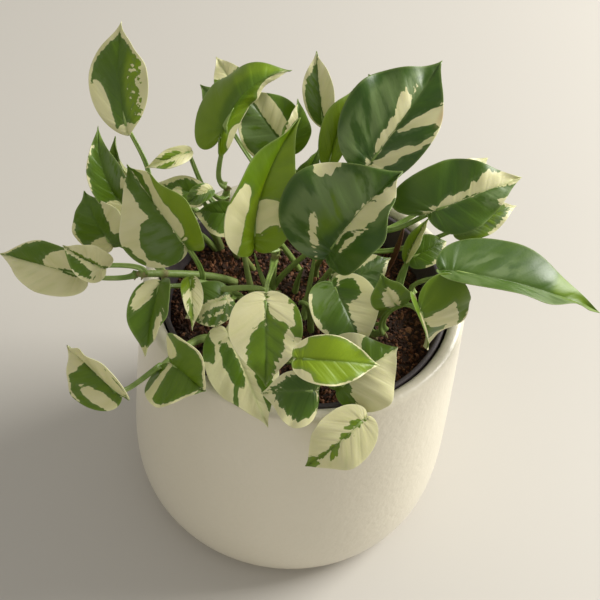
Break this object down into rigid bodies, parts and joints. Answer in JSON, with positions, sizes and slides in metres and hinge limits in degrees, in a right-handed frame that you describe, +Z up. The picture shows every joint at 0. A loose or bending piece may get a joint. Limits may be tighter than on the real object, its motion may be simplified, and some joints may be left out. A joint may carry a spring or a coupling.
{
  "type": "potted pothos plant",
  "caption": "Young variegated pothos with heart-shaped green and cream leaves on short trailing stems, in soil in a dark plastic nursery pot inside a cream glazed ceramic cover pot",
  "frame": {"origin": "On the cover pot's axis, on the level it stands on", "axes": "+X to the viewer's right, +Y to the back of the plant, +Z up"},
  "size_m": [0.284, 0.2024, 0.2401],
  "materials": {
    "cover_pot": "satin glaze",
    "nursery_pot": "matt, moulded",
    "soil": "loose damp potting mix",
    "stem": "smooth green bark",
    "leaf": "waxy, variegated green and cream"
  },
  "bodies": {
    "root": {"cover_pot": "cover_pot", "nursery_pot": "nursery_pot", "soil": "soil", "stem_northwest": "stem", "leaf_northwest_1": "leaf", "leaf_northwest_2": "leaf", "leaf_northwest_3": "leaf", "stem_west": "stem", "leaf_west_1": "leaf", "leaf_west_2": "leaf", "leaf_west_3": "leaf", "stem_middle_left": "stem", "leaf_middle_left_1": "leaf", "leaf_middle_left_2": "leaf", "leaf_middle_left_3": "leaf", "leaf_middle_left_4": "leaf", "stem_trailing": "stem", "leaf_trailing_1": "leaf", "leaf_trailing_2": "leaf", "stem_north_left": "stem", "leaf_north_left_1": "leaf", "leaf_north_left_2": "leaf", "leaf_north_left_3": "leaf", "leaf_north_left_4": "leaf", "leaf_north_left_5": "leaf", "stem_middle": "stem", "leaf_middle_1": "leaf", "leaf_middle_2": "leaf", "leaf_middle_3": "leaf", "stem_north": "stem", "leaf_north_1": "leaf", "leaf_north_2": "leaf", "leaf_north_3": "leaf", "leaf_north_4": "leaf", "leaf_north_5": "leaf", "leaf_north_6": "leaf", "leaf_north_7": "leaf", "leaf_north_8": "leaf", "stem_northeast": "stem", "leaf_northeast_1": "leaf", "leaf_northeast_2": "leaf", "leaf_northeast_3": "leaf", "leaf_northeast_4": "leaf", "leaf_northeast_5": "leaf", "leaf_northeast_6": "leaf", "stem_east": "stem", "leaf_east_1": "leaf", "leaf_east_2": "leaf", "leaf_east_3": "leaf", "stem_southeast": "stem", "leaf_southeast_1": "leaf", "leaf_southeast_2": "leaf", "leaf_southeast_3": "leaf", "leaf_southeast_4": "leaf", "stem_front": "stem", "leaf_front_1": "leaf", "leaf_front_2": "leaf", "leaf_front_3": "leaf", "leaf_front_4": "leaf", "leaf_front_5": "leaf"}
  },
  "joints": []
}
